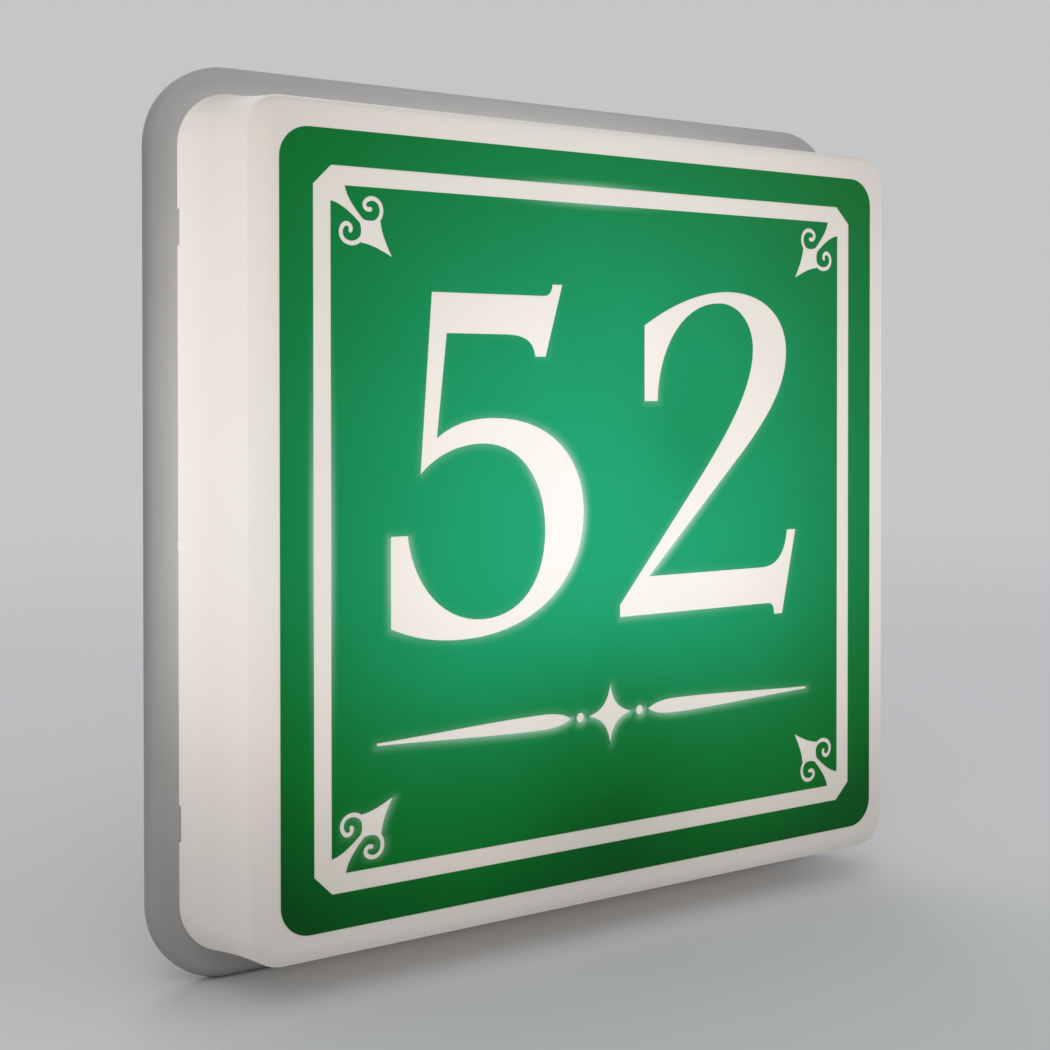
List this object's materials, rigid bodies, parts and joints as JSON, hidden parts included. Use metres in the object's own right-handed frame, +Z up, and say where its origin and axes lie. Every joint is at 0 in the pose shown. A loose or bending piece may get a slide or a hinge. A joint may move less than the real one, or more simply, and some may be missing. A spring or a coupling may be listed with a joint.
{
  "type": "illuminated house number sign",
  "caption": "Square wall lamp with an opal pull-off cover, a cut film that leaves the number and corner ornament clear, and a wired base.",
  "frame": {"origin": "middle of the base's back, on the wall plane", "axes": "+Y into the wall, so the lit face looks towards -Y; +Z up; +X to the right for someone who faces the sign"},
  "size_m": [0.24, 0.0503, 0.24],
  "materials": {
    "base_plastic": "fine texture",
    "foam_rubber": "matte",
    "black_rubber": "satin",
    "zinc_steel": "zinc plated",
    "terminal_plastic": "satin",
    "brass": "machined",
    "driver_plastic": "fine texture",
    "white_paint": "gloss",
    "board_white": "satin",
    "led_chip": "gloss",
    "connector_plastic": "satin",
    "tinned_copper": "tinned",
    "lead_brown": "satin",
    "lead_blue": "satin",
    "lead_green": "satin",
    "lead_red": "satin",
    "lead_black": "satin",
    "opal_cover": "satin opal",
    "green_film": "satin translucent"
  },
  "bodies": {
    "base": {"base_housing": "base_plastic", "base_gasket": "foam_rubber", "cable_grommet": "black_rubber", "cord_clamp": "base_plastic", "cord_clamp_screws": "zinc_steel", "terminal_block": "terminal_plastic", "terminal_contacts": "brass", "terminal_screws": "zinc_steel", "terminal_fixing_screws": "zinc_steel", "driver_case": "driver_plastic", "driver_lid": "driver_plastic", "driver_screws": "zinc_steel", "reflector_tray": "white_paint", "tray_screws": "zinc_steel", "led_board": "board_white", "led_chips": "led_chip", "led_connector": "connector_plastic", "board_screws": "zinc_steel", "lead_bush": "black_rubber", "earth_screw": "zinc_steel", "earth_nut": "zinc_steel", "earth_tag": "tinned_copper", "live_lead": "lead_brown", "neutral_lead": "lead_blue", "earth_lead": "lead_green", "led_positive_lead": "lead_red", "led_negative_lead": "lead_black"},
    "cover": {"diffuser_cover": "opal_cover", "film_border": "green_film", "film_panel": "green_film"}
  },
  "joints": [
    {"name": "cover_slide", "type": "slide", "parent": "base", "child": "cover", "axis": [0, -1, 0], "range_m": [0, 0.06]}
  ]
}
